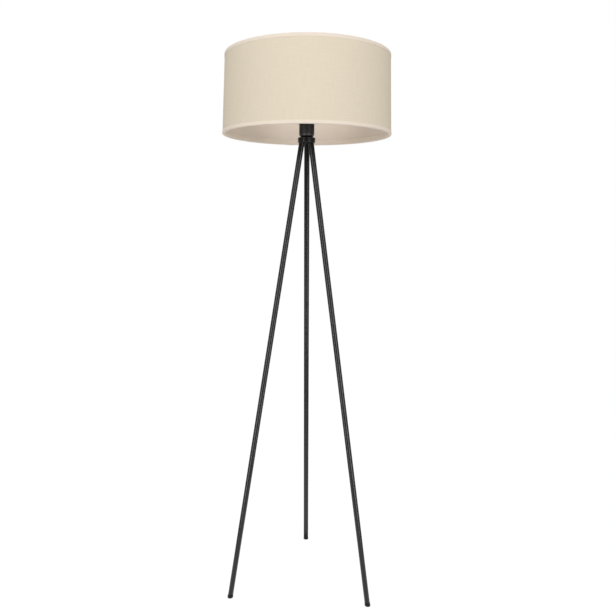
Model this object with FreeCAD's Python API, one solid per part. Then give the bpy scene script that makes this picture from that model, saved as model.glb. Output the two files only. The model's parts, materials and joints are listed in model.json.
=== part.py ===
"""Tripod floor lamp with a drum shade, in millimetres.

The lamp stands on z = 0 with its axis on Z. The rear leg points along +Y.
A lampholder on the hub carries the shade by a wire carrier, clamped under a screw ring.
"""
import FreeCAD
import Part
import math
import os

# Clearances
SEAT_GAP = 0.05          # pieces that are pressed, screwed or welded together
GLUE_GAP = 0.3           # glued layers of the shade
RUNNING_GAP = 0.08       # turning and sliding fits
LOOSE_GAP = 0.3          # pieces that only pass each other

# Legs
LEG_NAMES = ("rear", "left", "right")
REAR_AZIMUTH = 90.0
LEG_D = 15.0
LEG_WALL = 1.0
FOOT_CIRCLE_R = 224.0    # where the leg axes meet the floor
LEG_SOCKET_DEPTH = 3.0
INSERT_LENGTH = 20.0
STUD_D = 8.0
STUD_IN_LEG = 14.0

# Foot glides
GLIDE_LIP = 0.4
GLIDE_HEIGHT = 5.0       # along the leg axis, under the tube
GLIDE_EDGE = 0.8
GLIDE_PLUG_LENGTH = 15.0
GLIDE_RIBS = 3
GLIDE_RIB_WIDTH = 1.6
GLIDE_RIB_DEPTH = 0.7

# Hub
HUB_UNDERSIDE_Z = 1266.0
HUB_H = 14.0
HUB_WEB = 1.7            # between the nipple's thread and each leg
HUB_RIM = 1.5            # between each leg and the hub's side
HUB_ROOF = 3.0           # above each stud
HUB_EDGE = 1.0

# Nipple and cable bush
NIPPLE_D = 10.0
NIPPLE_WALL = 1.0
NIPPLE_IN_CAP = 8.0
BUSH_BORE_D = 7.2
BUSH_PLUG_LENGTH = 5.0
BUSH_LIP = 1.0
BUSH_FLANGE_T = 1.5
BUSH_MOUTH = 0.8

# Lampholder, from the screw bore outwards
BULB_BORE_D = 26.6       # clears the 27 mm Edison screw cap
SLEEVE_WALL = 1.6
SLEEVE_GAP = 2.0
SPIGOT_WALL = 1.5
CAP_WALL = 1.8
THREAD_STEP = 0.95
FLANGE_LIP = 2.25
FLANGE_T = 2.0

# Lampholder heights
CAP_H = 26.0
CAP_FLOOR_T = 2.5
CAP_CORNER_R = 10.0
CAP_BOSS_WALL = 3.5
CAP_LEDGE = 2.5
SPIGOT_H = 6.0
SKIRT_H = 10.5
THREAD_H = 20.0
SLEEVE_LENGTH = 24.5
SHELL_RIM_T = 4.0
SHELL_EDGE = 0.8

# Contact block and contacts
BLOCK_FLANGE_T = 4.0
BLOCK_STEP = 0.5
BLOCK_GAP = 2.0
RECESS_WALL = 2.4
RECESS_DEPTH = 6.0
CONTACT_HEAD_D = 9.0
CONTACT_HEAD_H = 4.0
CONTACT_DOME = 1.5
CONTACT_STEM_D = 4.0
CONTACT_STEM_BELOW = 3.0
SPRING_WIRE_D = 0.6
SPRING_D = 6.4           # at the middle of the wire
SPRING_H = 5.0
SPRING_TURNS = 3
CLIP_T = 0.8
CLIP_RIM = 1.6
STRIP_W = 5.0
STRIP_T = 0.6
STRIP_TONGUE_H = 7.0
SCREW_D = 2.5
SCREW_HEAD_D = 4.2
SCREW_HEAD_H = 1.5
SCREW_SLOT_W = 0.7
SCREW_SLOT_DEPTH = 0.6
SCREW_LENGTH = 5.0
TERMINAL_AZIMUTHS = (90.0, 270.0)

# Shade ring
SHADE_RING_FLANGE_T = 3.0
SHADE_RING_GRIP_H = 6.0
SHADE_RING_GRIP_WALL = 5.0
SHADE_RING_LIP = 1.5
SHADE_RING_NOTCHES = 20
SHADE_RING_NOTCH_D = 2.4

# Shade
SHADE_BOTTOM_D = 450.0   # over the binding
SHADE_TOP_D = 435.0      # over the binding
SHADE_H = 202.0
FITTER_RECESS = 31.5     # from the shade's bottom edge up to the fitter's seat
FABRIC_T = 0.6
LINER_T = 0.6
SEAM_W = 12.0
SEAM_AZIMUTH = 90.0
BINDING_T = 0.8
BINDING_OUTER_FLAP = 8.5
BINDING_INNER_FLAP = 15.0
BINDING_EDGE_R = 2.0     # outside the turned edges
EDGE_SETBACK = 2.2       # from the binding's outer edge to the cut edge of fabric and liner

# Wire carrier
RING_WIRE_D = 4.0
SPOKE_D = 3.5
SPOKE_BEND_IN = 30.0     # from the bottom ring inwards to the bend
SPOKE_BEND_R = 14.0
FITTER_T = 2.0
FITTER_RIM = 4.0

# Sizes that follow
LEG_STEP = 360.0 / len(LEG_NAMES)
LEG_AZIMUTHS = {name: REAR_AZIMUTH + LEG_STEP * index for index, name in enumerate(LEG_NAMES)}
LEG_R = LEG_D / 2
LEG_CIRCLE_R = NIPPLE_D / 2 + HUB_WEB + LEG_R
HUB_R = LEG_CIRCLE_R + LEG_R + HUB_RIM
LEG_LEAN = math.atan2(FOOT_CIRCLE_R - LEG_CIRCLE_R, HUB_UNDERSIDE_Z)
LEG_TOP = HUB_UNDERSIDE_Z / math.cos(LEG_LEAN) + LEG_SOCKET_DEPTH
STUD_IN_HUB = HUB_H - LEG_SOCKET_DEPTH - HUB_ROOF
STUD_R = STUD_D / 2
NIPPLE_R = NIPPLE_D / 2

HOLDER_Z = HUB_UNDERSIDE_Z + HUB_H
BULB_BORE_R = BULB_BORE_D / 2
SLEEVE_R = BULB_BORE_R + SLEEVE_WALL
SHELL_INNER_R = SLEEVE_R + SLEEVE_GAP
SPIGOT_R = SHELL_INNER_R + SPIGOT_WALL
CAP_INNER_R = SPIGOT_R + SEAT_GAP
HOLDER_R = CAP_INNER_R + CAP_WALL
THREAD_R = HOLDER_R - THREAD_STEP
FLANGE_R = HOLDER_R + FLANGE_LIP
SHOULDER_H = CAP_H + SKIRT_H
HOLDER_H = SHOULDER_H + THREAD_H
SLEEVE_FOOT_H = HOLDER_H - SLEEVE_LENGTH

SPIGOT_FOOT_H = CAP_H - SPIGOT_H
LEDGE_H = SPIGOT_FOOT_H - BLOCK_FLANGE_T
LEDGE_R = CAP_INNER_R - CAP_LEDGE
BLOCK_R = SLEEVE_R - BLOCK_STEP
BLOCK_TOP_H = SLEEVE_FOOT_H - BLOCK_GAP
RECESS_R = BLOCK_R - RECESS_WALL
RECESS_H = BLOCK_TOP_H - RECESS_DEPTH
CONTACT_HEAD_R = CONTACT_HEAD_D / 2
CONTACT_STEM_R = CONTACT_STEM_D / 2
CONTACT_WELL_R = CONTACT_HEAD_R + LOOSE_GAP
CONTACT_WELL_H = RECESS_H - SPRING_H
SPRING_TOP_H = CONTACT_WELL_H + SPRING_H

FITTER_Z = HOLDER_Z + SHOULDER_H
FITTER_R = FLANGE_R + FITTER_RIM
SHADE_Z = FITTER_Z - FITTER_RECESS
WALL_T = LINER_T + GLUE_GAP + FABRIC_T
WALL_SLOPE = (SHADE_TOP_D - SHADE_BOTTOM_D) / 2 / SHADE_H
RING_WIRE_R = RING_WIRE_D / 2
ROLL_R = RING_WIRE_R + LOOSE_GAP
SPOKE_R = SPOKE_D / 2

UP = FreeCAD.Vector(0, 0, 1)
ORIGIN = FreeCAD.Vector(0, 0, 0)


def in_section(corner):
    """Place a (radius, height) corner in the XZ plane."""
    return FreeCAD.Vector(corner[0], 0, corner[1])


def rounded_edges(corners, closed):
    """Join corners by straight runs; a third value in a corner is its rounding radius."""
    count = len(corners)
    starts = []
    ends = []
    arcs = []
    for index, corner in enumerate(corners):
        point = in_section(corner)
        radius = corner[2] if len(corner) > 2 else 0.0
        if radius == 0.0:
            starts.append(point)
            ends.append(point)
            arcs.append(None)
            continue
        back = (in_section(corners[index - 1]) - point).normalize()
        ahead = (in_section(corners[(index + 1) % count]) - point).normalize()
        half = back.getAngle(ahead) / 2
        setback = radius / math.tan(half)
        middle = (back + ahead).normalize() * (radius / math.sin(half) - radius)
        starts.append(point + back * setback)
        ends.append(point + ahead * setback)
        arcs.append(Part.Arc(starts[-1], point + middle, ends[-1]).toShape())
    edges = []
    for index in range(count):
        if arcs[index]:
            edges.append(arcs[index])
        following = (index + 1) % count
        if following or closed:
            edges.append(Part.makeLine(ends[index], starts[following]))
    return edges


def turned(corners, angle=360.0):
    """Revolve a closed outline of (radius, height[, rounding]) corners about Z."""
    face = Part.Face(Part.Wire(rounded_edges(corners, True)))
    return face.revolve(ORIGIN, UP, angle)


def washer(inner_r, outer_r, low, high):
    """A plain ring about Z."""
    return turned([(inner_r, low), (outer_r, low), (outer_r, high), (inner_r, high)])


def about_z(shape, azimuth):
    """A copy of a shape turned about Z, from the +X side to an azimuth."""
    copy = shape.copy()
    copy.rotate(ORIGIN, UP, azimuth)
    return copy


def lifted(shape, height):
    """A copy of a shape moved up."""
    copy = shape.copy()
    copy.translate(UP * height)
    return copy


def on_leg(shape, azimuth):
    """Place a shape built on Z along a leg's axis, with its z = 0 where that axis meets the floor."""
    copy = shape.copy()
    copy.rotate(ORIGIN, FreeCAD.Vector(0, 1, 0), -math.degrees(LEG_LEAN))
    copy.translate(FreeCAD.Vector(FOOT_CIRCLE_R, 0, 0))
    return about_z(copy, azimuth)


def rod(radius, low, high):
    """A round bar on Z."""
    return Part.makeCylinder(radius, high - low, UP * low)


def leg_tube():
    """Straight steel tube from the glide to the floor of the hub's socket."""
    return washer(LEG_R - LEG_WALL, LEG_R, GLIDE_HEIGHT, LEG_TOP)


def leg_insert():
    """Threaded plug in the tube's top, flush with its end."""
    outer_r = LEG_R - LEG_WALL - SEAT_GAP
    return washer(STUD_R + SEAT_GAP, outer_r, LEG_TOP - INSERT_LENGTH, LEG_TOP)


def leg_stud():
    """Threaded stud that joins an insert to the hub."""
    return rod(STUD_R, LEG_TOP - STUD_IN_LEG, LEG_TOP + STUD_IN_HUB)


def foot_glide(azimuth):
    """Ribbed plug with a foot under the tube, cut off level with the floor."""
    foot_r = LEG_R + GLIDE_LIP
    rib_r = LEG_R - LEG_WALL - SEAT_GAP
    core_r = rib_r - GLIDE_RIB_DEPTH
    plug_top = GLIDE_HEIGHT + GLIDE_PLUG_LENGTH
    below = foot_r * math.tan(LEG_LEAN) + GLIDE_EDGE
    rib_pitch = GLIDE_PLUG_LENGTH / GLIDE_RIBS
    outline = [(0, -below), (foot_r, -below), (foot_r, GLIDE_HEIGHT, GLIDE_EDGE), (core_r, GLIDE_HEIGHT)]
    for rib in range(GLIDE_RIBS):
        rib_low = GLIDE_HEIGHT + rib * rib_pitch + (rib_pitch - GLIDE_RIB_WIDTH) / 2
        outline += [(core_r, rib_low), (rib_r, rib_low)]
        outline += [(rib_r, rib_low + GLIDE_RIB_WIDTH), (core_r, rib_low + GLIDE_RIB_WIDTH)]
    outline += [(core_r, plug_top), (0, plug_top)]
    glide = on_leg(turned(outline), azimuth)
    reach = FOOT_CIRCLE_R + foot_r + below
    underground = Part.makeBox(2 * reach, 2 * reach, 2 * reach, FreeCAD.Vector(-reach, -reach, -2 * reach))
    return glide.cut(underground)


def hub():
    """Turned disc with a tapped centre and three slanted sockets and stud holes underneath."""
    low = HUB_UNDERSIDE_Z
    high = HUB_UNDERSIDE_Z + HUB_H
    bore_r = NIPPLE_R + SEAT_GAP
    disc = turned([
        (bore_r, low), (HUB_R - HUB_EDGE, low), (HUB_R, low + HUB_EDGE),
        (HUB_R, high - HUB_EDGE), (HUB_R - HUB_EDGE, high), (bore_r, high),
    ])
    mouth = LEG_TOP - LEG_SOCKET_DEPTH - LEG_D
    socket = rod(LEG_R + SEAT_GAP, mouth, LEG_TOP)
    stud_hole = rod(STUD_R + SEAT_GAP, LEG_TOP, LEG_TOP + STUD_IN_HUB + SEAT_GAP)
    for azimuth in LEG_AZIMUTHS.values():
        disc = disc.cut(on_leg(socket, azimuth))
        disc = disc.cut(on_leg(stud_hole, azimuth))
    return disc


def cable_bush():
    """Flanged bush in the hub's underside, where a cable would enter."""
    bore_r = BUSH_BORE_D / 2
    flange_low = HUB_UNDERSIDE_Z - BUSH_FLANGE_T
    plug_high = HUB_UNDERSIDE_Z + BUSH_PLUG_LENGTH
    flange_r = NIPPLE_R + BUSH_LIP
    return turned([
        (bore_r + BUSH_MOUTH, flange_low), (flange_r, flange_low), (flange_r, HUB_UNDERSIDE_Z),
        (NIPPLE_R, HUB_UNDERSIDE_Z), (NIPPLE_R, plug_high), (bore_r, plug_high),
        (bore_r, flange_low + BUSH_MOUTH),
    ])


def centre_nipple():
    """Hollow threaded tube that joins the lampholder to the hub."""
    low = HUB_UNDERSIDE_Z + BUSH_PLUG_LENGTH + SEAT_GAP
    return washer(NIPPLE_R - NIPPLE_WALL, NIPPLE_R, low, HOLDER_Z + NIPPLE_IN_CAP)


def holder_cap():
    """Cup with rounded bottom corners, a tapped boss inside and a ledge for the contact block."""
    bore_r = NIPPLE_R + SEAT_GAP
    boss_r = NIPPLE_R + CAP_BOSS_WALL
    boss_h = NIPPLE_IN_CAP + SEAT_GAP
    cup = turned([
        (bore_r, 0), (HOLDER_R, 0, CAP_CORNER_R), (HOLDER_R, CAP_H), (CAP_INNER_R, CAP_H),
        (CAP_INNER_R, LEDGE_H), (LEDGE_R, LEDGE_H), (LEDGE_R, CAP_FLOOR_T, CAP_FLOOR_T),
        (boss_r, CAP_FLOOR_T), (boss_r, boss_h), (bore_r, boss_h),
    ])
    lock_hole = lock_screw_bar(SCREW_D / 2 + SEAT_GAP, 0, boss_r + SEAT_GAP)
    return lifted(cup.cut(lock_hole), HOLDER_Z)


def lock_screw_bar(radius, start_r, end_r):
    """Level bar through the cap's boss, between two distances from the axis."""
    height = (CAP_FLOOR_T + NIPPLE_IN_CAP) / 2
    start = FreeCAD.Vector(start_r, 0, height)
    return Part.makeCylinder(radius, end_r - start_r, start, FreeCAD.Vector(1, 0, 0))


def nipple_lock_screw():
    """Grub screw in the cap's boss that keeps the lampholder from turning on the nipple."""
    bar = lock_screw_bar(SCREW_D / 2, NIPPLE_R + SEAT_GAP, NIPPLE_R + CAP_BOSS_WALL)
    return lifted(bar, HOLDER_Z)


def holder_shell():
    """Barrel with a spigot into the cap, a shoulder flange, an outer thread and the screw bore."""
    rim_low = HOLDER_H - SHELL_RIM_T
    barrel = turned([
        (SHELL_INNER_R, SPIGOT_FOOT_H), (SPIGOT_R, SPIGOT_FOOT_H), (SPIGOT_R, CAP_H), (HOLDER_R, CAP_H),
        (HOLDER_R, SHOULDER_H - FLANGE_T), (FLANGE_R, SHOULDER_H - FLANGE_T), (FLANGE_R, SHOULDER_H),
        (THREAD_R, SHOULDER_H), (THREAD_R, HOLDER_H - SHELL_EDGE), (THREAD_R - SHELL_EDGE, HOLDER_H),
        (BULB_BORE_R, HOLDER_H), (BULB_BORE_R, SLEEVE_FOOT_H), (SLEEVE_R, SLEEVE_FOOT_H),
        (SLEEVE_R, rim_low), (SHELL_INNER_R, rim_low),
    ])
    return lifted(barrel, HOLDER_Z)


def screw():
    """Slotted cheese-head screw on Z, with its head's seat at z = 0 and its shank below."""
    head = rod(SCREW_HEAD_D / 2, 0, SCREW_HEAD_H)
    shank = rod(SCREW_D / 2, -SCREW_LENGTH, 0)
    corner = FreeCAD.Vector(-SCREW_HEAD_D / 2, -SCREW_SLOT_W / 2, SCREW_HEAD_H - SCREW_SLOT_DEPTH)
    slot = Part.makeBox(SCREW_HEAD_D, SCREW_SLOT_W, SCREW_SLOT_DEPTH, corner)
    return head.fuse(shank).removeSplitter().cut(slot)


def screw_hole():
    """Room for a screw's shank."""
    return rod(SCREW_D / 2 + SEAT_GAP, -SCREW_LENGTH - SEAT_GAP, 0)


def on_terminal(shape, azimuth):
    """Lay a screw shape radially on the contact block's side, above its flange."""
    copy = shape.copy()
    copy.rotate(ORIGIN, FreeCAD.Vector(0, 1, 0), 90)
    copy.translate(FreeCAD.Vector(BLOCK_R, 0, SPIGOT_FOOT_H + SCREW_HEAD_D / 2 + LOOSE_GAP))
    return about_z(copy, azimuth)


def strip_reach():
    """Inner and outer ends of the side contact's foot, between the well and the recess wall."""
    outer = math.sqrt((RECESS_R - LOOSE_GAP) ** 2 - (STRIP_W / 2) ** 2)
    return CONTACT_WELL_R + LOOSE_GAP, outer


def on_strip(shape):
    """Stand a screw shape on the flat of the side contact's foot."""
    inner, outer = strip_reach()
    flat_end = outer - 2 * STRIP_T
    copy = shape.copy()
    copy.translate(FreeCAD.Vector((inner + flat_end) / 2, 0, RECESS_H + STRIP_T))
    return copy


def contact_block():
    """Moulded insert on the cap's ledge, with a recess for the contacts and a well for the spring."""
    flange_r = CAP_INNER_R - SEAT_GAP
    stem_hole_r = CONTACT_STEM_R + RUNNING_GAP
    block = turned([
        (stem_hole_r, LEDGE_H), (flange_r, LEDGE_H), (flange_r, SPIGOT_FOOT_H), (BLOCK_R, SPIGOT_FOOT_H),
        (BLOCK_R, BLOCK_TOP_H), (RECESS_R, BLOCK_TOP_H), (RECESS_R, RECESS_H), (CONTACT_WELL_R, RECESS_H),
        (CONTACT_WELL_R, CONTACT_WELL_H), (stem_hole_r, CONTACT_WELL_H),
    ])
    for azimuth in TERMINAL_AZIMUTHS:
        block = block.cut(on_terminal(screw_hole(), azimuth))
    return lifted(block.cut(on_strip(screw_hole())), HOLDER_Z)


def terminal_screws():
    """Two screws in the block's sides that would hold the wires."""
    screws = [on_terminal(screw(), azimuth) for azimuth in TERMINAL_AZIMUTHS]
    return lifted(Part.makeCompound(screws), HOLDER_Z)


def contact_screw():
    """Screw that holds the side contact's foot on the block."""
    return lifted(on_strip(screw()), HOLDER_Z)


def side_contact():
    """Bent brass strip: a foot on the block and a tongue up the recess wall."""
    inner, outer = strip_reach()
    corners = [
        (inner, RECESS_H), (outer, RECESS_H, 2 * STRIP_T), (outer, RECESS_H + STRIP_TONGUE_H),
        (outer - STRIP_T, RECESS_H + STRIP_TONGUE_H), (outer - STRIP_T, RECESS_H + STRIP_T, STRIP_T),
        (inner, RECESS_H + STRIP_T),
    ]
    strip = Part.Face(Part.Wire(rounded_edges(corners, True))).extrude(FreeCAD.Vector(0, STRIP_W, 0))
    strip.translate(FreeCAD.Vector(0, -STRIP_W / 2, 0))
    return lifted(strip.cut(on_strip(rod(SCREW_D / 2 + SEAT_GAP, -STRIP_T, 0))), HOLDER_Z)


def centre_contact():
    """Domed brass plunger on the axis, which the bulb's tip presses down."""
    low = LEDGE_H - CONTACT_STEM_BELOW
    top = SPRING_TOP_H + CONTACT_HEAD_H
    plunger = turned([
        (0, low), (CONTACT_STEM_R, low), (CONTACT_STEM_R, SPRING_TOP_H), (CONTACT_HEAD_R, SPRING_TOP_H),
        (CONTACT_HEAD_R, top, CONTACT_DOME), (0, top),
    ])
    return lifted(plunger, HOLDER_Z)


def contact_clip():
    """Retaining ring on the plunger's stem, under the block."""
    clip = washer(CONTACT_STEM_R + SEAT_GAP, CONTACT_STEM_R + CLIP_RIM, LEDGE_H - CLIP_T, LEDGE_H)
    return lifted(clip, HOLDER_Z)


def coil_point(turn):
    """Middle of the spring's wire after a number of turns."""
    rise = SPRING_H - SPRING_WIRE_D - 2 * SEAT_GAP
    angle = 2 * math.pi * turn
    height = CONTACT_WELL_H + SEAT_GAP + SPRING_WIRE_D / 2 + rise * turn / SPRING_TURNS
    return FreeCAD.Vector(SPRING_D / 2 * math.cos(angle), SPRING_D / 2 * math.sin(angle), height)


def contact_spring():
    """Coil spring between the block's well and the plunger's head, wound in quarter-turn arcs."""
    arcs = []
    for quarter in range(round(4 * SPRING_TURNS)):
        points = [coil_point((quarter + step) / 4) for step in (0, 0.5, 1)]
        arcs.append(Part.Arc(*points).toShape())
    start = arcs[0].tangentAt(arcs[0].FirstParameter)
    wire = Part.Wire(Part.makeCircle(SPRING_WIRE_D / 2, coil_point(0), start))
    return lifted(Part.Wire(arcs).makePipeShell([wire], True, False), HOLDER_Z)


def shade_ring():
    """Screw ring with a notched grip, which clamps the fitter on the shoulder."""
    bore_r = THREAD_R + RUNNING_GAP
    grip_r = bore_r + SHADE_RING_GRIP_WALL
    flange_r = FITTER_R + SHADE_RING_LIP
    flange_high = SHADE_RING_FLANGE_T
    high = SHADE_RING_FLANGE_T + SHADE_RING_GRIP_H
    ring = turned([
        (bore_r, 0), (flange_r, 0), (flange_r, flange_high), (grip_r, flange_high), (grip_r, high), (bore_r, high),
    ])
    notch = rod(SHADE_RING_NOTCH_D / 2, flange_high, high)
    notch.translate(FreeCAD.Vector(grip_r, 0, 0))
    for step in range(SHADE_RING_NOTCHES):
        ring = ring.cut(about_z(notch, step * 360.0 / SHADE_RING_NOTCHES))
    return lifted(ring, FITTER_Z + FITTER_T)


def wall_r(depth, height):
    """Radius on the shade's wall: depth outwards from the liner's inside, height above the bottom edge."""
    inside = SHADE_BOTTOM_D / 2 - BINDING_T - GLUE_GAP - WALL_T
    return inside + depth + WALL_SLOPE * height


def wall_sheet(inner, outer, low, high, angle=360.0):
    """A tapered sheet of the shade's wall between two depths and two heights."""
    corners = [
        (wall_r(inner, low), SHADE_Z + low), (wall_r(outer, low), SHADE_Z + low),
        (wall_r(outer, high), SHADE_Z + high), (wall_r(inner, high), SHADE_Z + high),
    ]
    return turned(corners, angle)


def shade_liner():
    """Stiff inner sheet of the shade."""
    return wall_sheet(0, LINER_T, EDGE_SETBACK, SHADE_H - EDGE_SETBACK)


def shade_fabric():
    """Fabric on the liner, with its ends lapped in one upright seam at the back."""
    inner = LINER_T + GLUE_GAP
    outer = inner + FABRIC_T
    cloth = wall_sheet(inner, outer, EDGE_SETBACK, SHADE_H - EDGE_SETBACK)
    lap_angle = math.degrees(SEAM_W / (SHADE_BOTTOM_D / 2))
    lap_edge = BINDING_OUTER_FLAP + LOOSE_GAP
    lap = wall_sheet(inner, outer + FABRIC_T, lap_edge, SHADE_H - lap_edge, lap_angle)
    return cloth.fuse(about_z(lap, SEAM_AZIMUTH - lap_angle / 2)).removeSplitter()


def edge_height(inset, at_top):
    """Height above the shade's bottom edge of a place that lies an inset from one of its two edges."""
    return SHADE_H - inset if at_top else inset


def edge_corner(depth, inset, at_top, rounding=0.0):
    """A corner of the edge section that follows the sloping wall."""
    height = edge_height(inset, at_top)
    return (wall_r(depth, height), SHADE_Z + height, rounding)


def ring_centre(at_top):
    """Radius and height of the middle of an edge ring's wire."""
    return edge_corner(-ROLL_R, BINDING_T + ROLL_R, at_top)[:2]


def roll_corner(beyond, inset, at_top, rounding):
    """A corner of the roll round the wire ring: beyond is measured inwards from the wire's middle."""
    ring_r = ring_centre(at_top)[0]
    return (ring_r - beyond, SHADE_Z + edge_height(inset, at_top), rounding)


def edge_binding(at_top):
    """Rolled tape: up the outside, round the edge and the wire ring, and up the liner."""
    outside = WALL_T + GLUE_GAP
    past_wire = BINDING_T + 2 * ROLL_R
    return turned([
        edge_corner(outside, BINDING_OUTER_FLAP, at_top),
        edge_corner(outside + BINDING_T, BINDING_OUTER_FLAP, at_top),
        edge_corner(outside + BINDING_T, 0, at_top, BINDING_EDGE_R),
        roll_corner(ROLL_R + BINDING_T, 0, at_top, ROLL_R + BINDING_T),
        roll_corner(ROLL_R + BINDING_T, past_wire, at_top, BINDING_EDGE_R),
        edge_corner(-GLUE_GAP - BINDING_T, BINDING_INNER_FLAP, at_top),
        edge_corner(-GLUE_GAP, BINDING_INNER_FLAP, at_top),
        roll_corner(ROLL_R, past_wire, at_top, BINDING_EDGE_R - BINDING_T),
        roll_corner(ROLL_R, BINDING_T, at_top, ROLL_R),
        edge_corner(outside, BINDING_T, at_top, BINDING_EDGE_R - BINDING_T),
    ])


def edge_ring(at_top, grow=0.0):
    """Wire ring inside a rolled edge."""
    ring_r, ring_z = ring_centre(at_top)
    return Part.makeTorus(ring_r, RING_WIRE_R + grow, UP * ring_z)


def spoke_bar(radius):
    """Bent wire in the XZ plane: level under the fitter, then down to the bottom ring."""
    ring_r, ring_z = ring_centre(False)
    level = FITTER_Z - SPOKE_R - SEAT_GAP
    start_r = FLANGE_R + LOOSE_GAP
    corners = [(start_r, level), (ring_r - SPOKE_BEND_IN, level, SPOKE_BEND_R), (ring_r, ring_z)]
    path = Part.Wire(rounded_edges(corners, False))
    section = Part.Wire(Part.makeCircle(radius, in_section(corners[0]), FreeCAD.Vector(1, 0, 0)))
    return path.makePipeShell([section], True, False)


def spoke():
    """Spoke of the carrier, ending on the bottom ring's wire."""
    return spoke_bar(SPOKE_R).cut(edge_ring(False, SEAT_GAP))


def bottom_binding():
    """Bottom binding, slit where the spokes come through."""
    binding = edge_binding(False)
    for azimuth in LEG_AZIMUTHS.values():
        binding = binding.cut(about_z(spoke_bar(SPOKE_R + LOOSE_GAP), azimuth))
    return binding


def fitter_ring():
    """Flat ring that the spokes carry, resting on the lampholder's shoulder."""
    return washer(THREAD_R + LOOSE_GAP, FITTER_R, FITTER_Z, FITTER_Z + FITTER_T)


def lamp():
    """Every piece of the lamp, by name."""
    pieces = {
        "hub": hub(),
        "cable_bush": cable_bush(),
        "centre_nipple": centre_nipple(),
        "holder_cap": holder_cap(),
        "holder_shell": holder_shell(),
        "nipple_lock_screw": nipple_lock_screw(),
        "contact_block": contact_block(),
        "terminal_screws": terminal_screws(),
        "side_contact": side_contact(),
        "contact_screw": contact_screw(),
        "centre_contact": centre_contact(),
        "contact_clip": contact_clip(),
        "contact_spring": contact_spring(),
        "shade_ring": shade_ring(),
        "shade_fabric": shade_fabric(),
        "shade_liner": shade_liner(),
        "top_binding": edge_binding(True),
        "bottom_binding": bottom_binding(),
        "top_ring": edge_ring(True),
        "bottom_ring": edge_ring(False),
        "fitter_ring": fitter_ring(),
    }
    studs = []
    for name, azimuth in LEG_AZIMUTHS.items():
        pieces["leg_" + name] = on_leg(leg_tube(), azimuth)
        pieces["leg_insert_" + name] = on_leg(leg_insert(), azimuth)
        pieces["foot_glide_" + name] = foot_glide(azimuth)
        pieces["spoke_" + name] = about_z(spoke(), azimuth)
        studs.append(on_leg(leg_stud(), azimuth))
    pieces["leg_studs"] = Part.makeCompound(studs)
    return pieces


os.makedirs("parts", exist_ok=True)
for piece_name, piece in lamp().items():
    piece.exportStep(os.path.join("parts", piece_name + ".step"))
    print(piece_name, "valid" if piece.isValid() else "NOT VALID", len(piece.Solids), round(piece.Volume, 1))
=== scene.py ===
# %% [markdown]
# # A tripod floor lamp with a cream drum shade
#
# The lamp's construction comes ready-made: tubes, wires, screws and sheets from a CAD model, in metres, at
# their real size and place. This lesson dresses that model. It gives each surface its finish, makes the
# cloth of the shade as real sheets and rolled tape, winds the screw threads and a small spring, and sets up
# a plain studio.
#
# The first cell loads the model and keeps its box, because the dressed lamp has to keep that size.

# %% Load the lamp
import json
import math
import random

import bpy
from mathutils import Matrix, Vector


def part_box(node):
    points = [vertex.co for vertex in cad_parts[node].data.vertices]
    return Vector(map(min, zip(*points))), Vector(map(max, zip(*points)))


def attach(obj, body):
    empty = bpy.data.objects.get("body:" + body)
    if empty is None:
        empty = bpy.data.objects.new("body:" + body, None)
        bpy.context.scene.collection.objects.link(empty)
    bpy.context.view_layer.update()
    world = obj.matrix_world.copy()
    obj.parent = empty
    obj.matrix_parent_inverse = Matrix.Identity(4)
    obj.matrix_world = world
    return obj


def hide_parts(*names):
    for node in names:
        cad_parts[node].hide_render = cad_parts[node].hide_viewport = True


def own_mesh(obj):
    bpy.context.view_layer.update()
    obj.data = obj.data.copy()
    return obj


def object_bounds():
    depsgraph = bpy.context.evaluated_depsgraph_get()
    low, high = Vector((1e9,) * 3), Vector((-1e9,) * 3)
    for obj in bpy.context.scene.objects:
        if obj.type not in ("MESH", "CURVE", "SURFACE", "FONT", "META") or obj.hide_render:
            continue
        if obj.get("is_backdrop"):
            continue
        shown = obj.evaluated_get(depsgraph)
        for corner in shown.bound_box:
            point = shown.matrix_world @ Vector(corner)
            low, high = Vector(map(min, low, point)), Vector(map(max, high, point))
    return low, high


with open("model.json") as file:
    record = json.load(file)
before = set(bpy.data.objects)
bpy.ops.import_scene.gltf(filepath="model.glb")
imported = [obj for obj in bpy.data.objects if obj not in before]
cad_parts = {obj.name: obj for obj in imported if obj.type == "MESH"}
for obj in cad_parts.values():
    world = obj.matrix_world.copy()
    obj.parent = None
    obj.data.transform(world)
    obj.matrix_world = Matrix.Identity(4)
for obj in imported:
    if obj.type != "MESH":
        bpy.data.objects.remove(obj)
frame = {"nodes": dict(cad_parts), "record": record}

MM = 0.001
cad_low, cad_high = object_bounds()
nodes = frame["nodes"]
print("lamp size in mm:", [round((high - low) / MM, 1) for low, high in zip(cad_low, cad_high)])

# %% [markdown]
# ## Colours and shader nodes
#
# Colours are given as sRGB hex values, but a renderer adds up light in linear values, so one function
# turns the first into the second. A second small function adds a shader node, sets its options and fills or
# links its sockets. With these two, each finish below reads like a recipe.
#
# Sockets go by name, or by number where a node has several of one name. A Mix node has its factor at 0, its
# pair of numbers at 2 and 3, its pair of colours at 6 and 7, and its colour result at 2.

# %% Helpers for finishes
def linear(hex_colour):
    """Linear RGBA from an sRGB hex colour: the curve is straight near black and a power above."""
    channels = [int(hex_colour[place:place + 2], 16) / 255 for place in (0, 2, 4)]
    light = [value / 12.92 if value <= 0.04045 else ((value + 0.055) / 1.055) ** 2.4 for value in channels]
    return (*light, 1.0)


def fill(tree, node, sockets):
    """Set the inputs of a node to plain values, or link them to the outputs that feed them."""
    for socket, value in sockets.items():
        if isinstance(value, bpy.types.NodeSocket):
            tree.links.new(value, node.inputs[socket])
        else:
            node.inputs[socket].default_value = value


def add(tree, kind, sockets, **options):
    """Add a shader node of a kind, with its options and inputs."""
    node = tree.nodes.new("ShaderNode" + kind)
    for option, value in options.items():
        setattr(node, option, value)
    fill(tree, node, sockets)
    return node


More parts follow.
